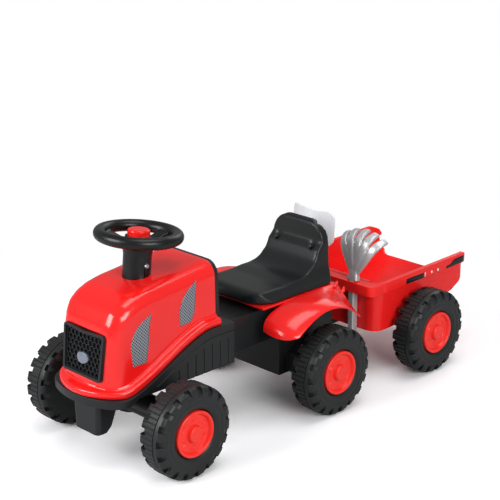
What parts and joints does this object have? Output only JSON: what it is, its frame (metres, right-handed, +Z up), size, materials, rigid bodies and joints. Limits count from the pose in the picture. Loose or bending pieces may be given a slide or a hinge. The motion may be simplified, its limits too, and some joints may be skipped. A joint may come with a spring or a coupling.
{
  "type": "ride-on toy tractor with trailer",
  "caption": "Ride-on plastic toy tractor with lugged wheels, a steering wheel with a horn button, and a hitched trailer holding a rake and a shovel.",
  "frame": {"origin": "centre of the length, on the tractor's middle plane, at ground level under the wheels", "axes": "+X forward, from the trailer to the tractor's nose; +Y to the tractor's left; +Z up"},
  "size_m": [0.898, 0.36, 0.3856],
  "materials": {
    "chassis_black": "satin black moulded polypropylene",
    "body_red": "glossy red moulded polypropylene",
    "grille_black": "satin black moulded plastic",
    "badge_silver": "bare silver plastic",
    "seat_black": "fine-grained black plastic",
    "steel": "zinc-plated steel",
    "bush_white": "natural white plastic",
    "wheel_black": "satin black plastic",
    "button_red": "glossy red plastic",
    "tub_red": "glossy red moulded polypropylene",
    "rake_grey": "grey moulded plastic",
    "shovel_pale": "pale grey moulded plastic",
    "tyre_black": "hollow blow-moulded black polyethylene",
    "disc_red": "red moulded plastic"
  },
  "bodies": {
    "tractor": {"chassis": "chassis_black", "hood": "body_red", "grille": "grille_black", "badge": "badge_silver", "dashboard": "chassis_black", "seat": "seat_black", "fenders": "body_red", "rear_axle": "steel", "rear_axle_caps": "steel", "steering_bush": "bush_white", "hitch_pin": "body_red", "body_screws": "steel"},
    "steering": {"steering_wheel": "wheel_black", "steering_column": "wheel_black", "column_screw": "steel", "steering_rod": "steel", "horn_spring": "steel", "axle_carrier": "chassis_black", "front_axle": "steel", "front_axle_caps": "steel"},
    "horn": {"horn_button": "button_red"},
    "trailer": {"tub": "tub_red", "drawbar": "chassis_black", "trailer_axle": "steel", "trailer_axle_caps": "steel", "tub_screws": "steel"},
    "rake_tool": {"rake": "rake_grey"},
    "shovel_tool": {"shovel": "shovel_pale"},
    "front_left_wheel": {"front_left_tyre": "tyre_black", "front_left_disc": "disc_red", "front_left_hub_cap": "disc_red"},
    "front_right_wheel": {"front_right_tyre": "tyre_black", "front_right_disc": "disc_red", "front_right_hub_cap": "disc_red"},
    "rear_left_wheel": {"rear_left_tyre": "tyre_black", "rear_left_disc": "disc_red", "rear_left_hub_cap": "disc_red"},
    "rear_right_wheel": {"rear_right_tyre": "tyre_black", "rear_right_disc": "disc_red", "rear_right_hub_cap": "disc_red"},
    "trailer_left_wheel": {"trailer_left_tyre": "tyre_black", "trailer_left_disc": "disc_red", "trailer_left_hub_cap": "disc_red"},
    "trailer_right_wheel": {"trailer_right_tyre": "tyre_black", "trailer_right_disc": "disc_red", "trailer_right_hub_cap": "disc_red"}
  },
  "joints": [
    {"name": "steer", "type": "hinge", "parent": "tractor", "child": "steering", "pos_m": [0.3325, 0, 0.08], "axis": [-0.1045, 0, 0.9945], "range_deg": [-20, 20]},
    {"name": "horn_press", "type": "slide", "parent": "steering", "child": "horn", "axis": [0.1045, 0, -0.9945], "range_m": [0, 0.003], "stiffness_N_per_m": 400, "springref_m": -0.002, "deforming": ["horn_spring"]},
    {"name": "hitch_yaw", "type": "hinge", "parent": "tractor", "child": "trailer", "pos_m": [-0.1205, 0, 0.089], "axis": [0, 0, 1], "range_deg": [-20, 20]},
    {"name": "rake_lift", "type": "slide", "parent": "trailer", "child": "rake_tool", "axis": [0, 0, 1], "range_m": [0, 0.15]},
    {"name": "shovel_lift", "type": "slide", "parent": "trailer", "child": "shovel_tool", "axis": [0, 0, 1], "range_m": [0, 0.15]},
    {"name": "front_left_spin", "type": "hinge", "parent": "steering", "child": "front_left_wheel", "pos_m": [0.3405, 0.149, 0.08], "axis": [0, 1, 0], "continuous": true},
    {"name": "front_right_spin", "type": "hinge", "parent": "steering", "child": "front_right_wheel", "pos_m": [0.3405, -0.149, 0.08], "axis": [0, 1, 0], "continuous": true},
    {"name": "rear_left_spin", "type": "hinge", "parent": "tractor", "child": "rear_left_wheel", "pos_m": [-0.0085, 0.149, 0.08], "axis": [0, 1, 0], "continuous": true},
    {"name": "rear_right_spin", "type": "hinge", "parent": "tractor", "child": "rear_right_wheel", "pos_m": [-0.0085, -0.149, 0.08], "axis": [0, 1, 0], "continuous": true},
    {"name": "trailer_left_spin", "type": "hinge", "parent": "trailer", "child": "trailer_left_wheel", "pos_m": [-0.2815, 0.152, 0.08], "axis": [0, 1, 0], "continuous": true},
    {"name": "trailer_right_spin", "type": "hinge", "parent": "trailer", "child": "trailer_right_wheel", "pos_m": [-0.2815, -0.152, 0.08], "axis": [0, 1, 0], "continuous": true}
  ]
}
